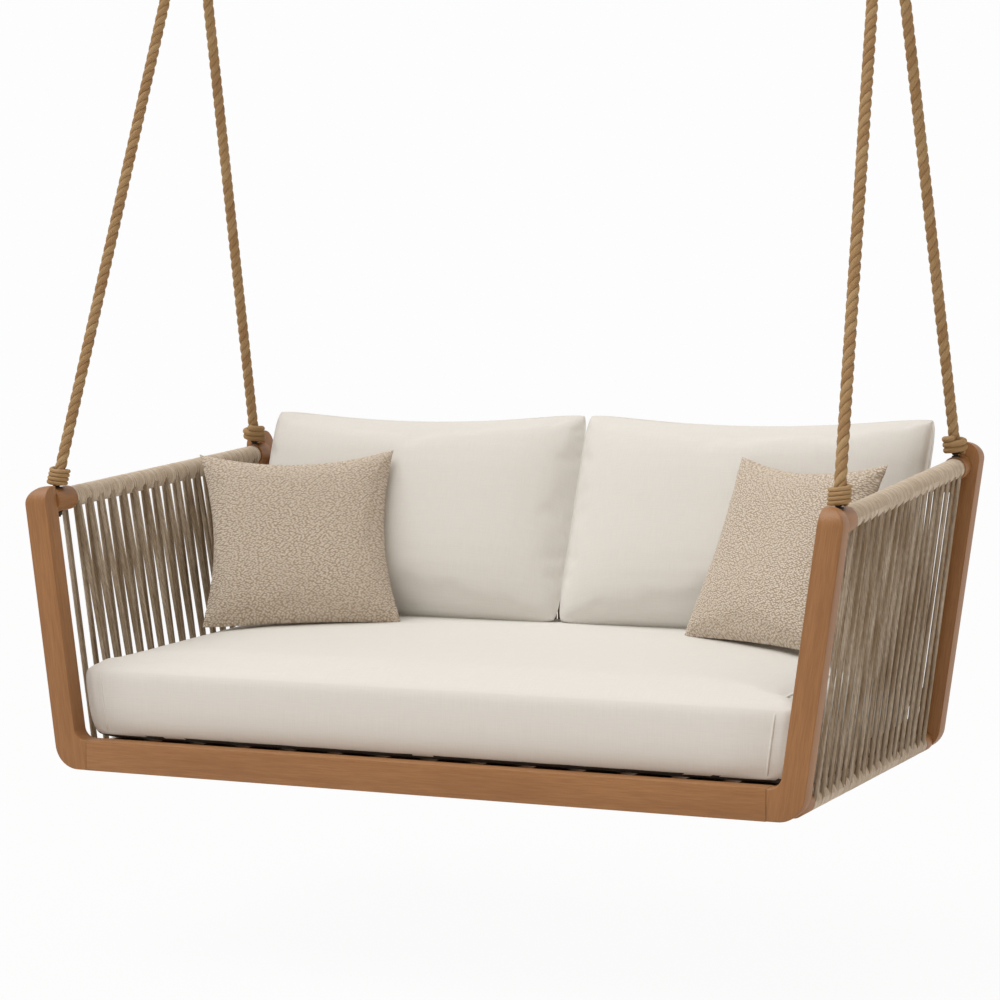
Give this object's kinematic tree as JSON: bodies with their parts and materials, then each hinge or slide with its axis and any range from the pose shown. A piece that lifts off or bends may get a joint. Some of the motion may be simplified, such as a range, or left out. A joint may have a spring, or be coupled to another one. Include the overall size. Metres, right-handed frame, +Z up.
{
  "type": "hanging swing bed",
  "caption": "Daybed swing: leaning hardwood end frames with corded sides and back, loose cushions and pillows, hung on a rope at each end from ceiling plates.",
  "frame": {"origin": "On the ceiling plane, at the middle of the four fixing holes, midway between the two ceiling plates; the bed hangs below.", "axes": "+X along the bed to the sitter's left as seen from the front (right in the picture), +Y from the open front to the back, +Z up."},
  "size_m": [1.9144, 1.0779, 2.133],
  "materials": {
    "galvanised_steel": "dull galvanised",
    "stainless_steel": "satin",
    "nylon": "matte",
    "rope": "twisted natural fibre",
    "rope_binding": "twisted natural fibre",
    "rail_wrap_cord": "fine wound cord",
    "panel_cord": "twisted cord",
    "teak": "oiled, straight grain",
    "hardwood_slat": "sanded, unfinished",
    "foam": "open-cell foam",
    "fibre_fill": "loose polyester fibre",
    "linen": "plain weave",
    "boucle": "looped boucle"
  },
  "bodies": {
    "ceiling": {"ceiling_plate_left": "galvanised_steel", "ceiling_plate_right": "galvanised_steel", "swing_pins": "galvanised_steel"},
    "hanger_left": {"swing_bush_left": "nylon", "hanger_left": "galvanised_steel", "sway_pin_left": "galvanised_steel"},
    "ropes_left": {"yoke_left": "galvanised_steel", "thimble_left": "galvanised_steel", "thimble_pin_left": "galvanised_steel", "rope_left": "rope", "rope_collar_left": "rope_binding", "rope_knot_left": "rope_binding", "rope_terminals_left": "galvanised_steel", "end_pins_left": "galvanised_steel"},
    "bed": {"eyebolts": "galvanised_steel", "eyebolt_nuts": "galvanised_steel", "front_post_left": "teak", "front_post_right": "teak", "rear_post_left": "teak", "rear_post_right": "teak", "front_rail": "teak", "rear_rail": "teak", "corner_dowels": "hardwood_slat", "side_top_rail_left": "teak", "side_top_rail_right": "teak", "side_low_rail_left": "teak", "side_low_rail_right": "teak", "side_wraps_left": "rail_wrap_cord", "side_wraps_right": "rail_wrap_cord", "side_cords_left": "panel_cord", "side_cords_right": "panel_cord", "back_top_rail": "teak", "back_low_rails": "teak", "back_stile": "teak", "back_wraps": "rail_wrap_cord", "back_cords_left": "panel_cord", "back_cords_right": "panel_cord", "seat_ledgers": "hardwood_slat", "seat_slats": "hardwood_slat", "seat_screws": "stainless_steel"},
    "seat_cushion": {"seat_cushion": "linen", "seat_core": "foam"},
    "back_cushion_left": {"back_cushion_left": "linen", "back_core_left": "fibre_fill"},
    "back_cushion_right": {"back_cushion_right": "linen", "back_core_right": "fibre_fill"},
    "pillow_left": {"pillow_left": "boucle"},
    "pillow_right": {"pillow_right": "boucle"},
    "hanger_right": {"swing_bush_right": "nylon", "hanger_right": "galvanised_steel", "sway_pin_right": "galvanised_steel"},
    "ropes_right": {"yoke_right": "galvanised_steel", "thimble_right": "galvanised_steel", "thimble_pin_right": "galvanised_steel", "rope_right": "rope", "rope_collar_right": "rope_binding", "rope_knot_right": "rope_binding", "rope_terminals_right": "galvanised_steel", "end_pins_right": "galvanised_steel"}
  },
  "joints": [
    {"name": "swing", "type": "hinge", "parent": "ceiling", "child": "hanger_left", "pos_m": [-0.848, 0, -0.036], "axis": [1, 0, 0], "range_deg": [-20, 20]},
    {"name": "swing_right", "type": "hinge", "parent": "ceiling", "child": "hanger_right", "pos_m": [0.848, 0, -0.036], "axis": [1, 0, 0], "range_deg": [-20.5, 20.5]},
    {"name": "sway", "type": "hinge", "parent": "hanger_left", "child": "ropes_left", "pos_m": [-0.848, 0, -0.098], "axis": [0, 0.9974, 0.0722], "range_deg": [-6, 6]},
    {"name": "sway_right", "type": "hinge", "parent": "hanger_right", "child": "ropes_right", "pos_m": [0.848, 0, -0.098], "axis": [0, 0.9974, 0.0722], "range_deg": [-6.5, 6.5]},
    {"name": "bed_level", "type": "hinge", "parent": "ropes_left", "child": "bed", "pos_m": [-0.912, -0.50871, -1.50106], "axis": [0, 0.9974, 0.0722], "range_deg": [-6, 6]},
    {"name": "seat_cushion_lift", "type": "slide", "parent": "bed", "child": "seat_cushion", "axis": [0, -0.7071, 0.7071], "range_m": [0, 0.24]},
    {"name": "back_cushion_left_lift", "type": "slide", "parent": "seat_cushion", "child": "back_cushion_left", "axis": [0, -0.5, 0.866], "range_m": [0, 0.25]},
    {"name": "back_cushion_right_lift", "type": "slide", "parent": "seat_cushion", "child": "back_cushion_right", "axis": [0, -0.5, 0.866], "range_m": [0, 0.25]},
    {"name": "pillow_left_lift", "type": "slide", "parent": "back_cushion_left", "child": "pillow_left", "axis": [0.5014, -0.6017, 0.6217], "range_m": [0, 0.3]},
    {"name": "pillow_right_lift", "type": "slide", "parent": "back_cushion_right", "child": "pillow_right", "axis": [-0.5014, -0.6017, 0.6217], "range_m": [0, 0.3]}
  ],
  "couplings": [
    {"joint": "swing_right", "follows": "swing", "ratio": 1},
    {"joint": "sway_right", "follows": "sway", "ratio": 1},
    {"joint": "bed_level", "follows": "sway", "ratio": -0.92983}
  ]
}
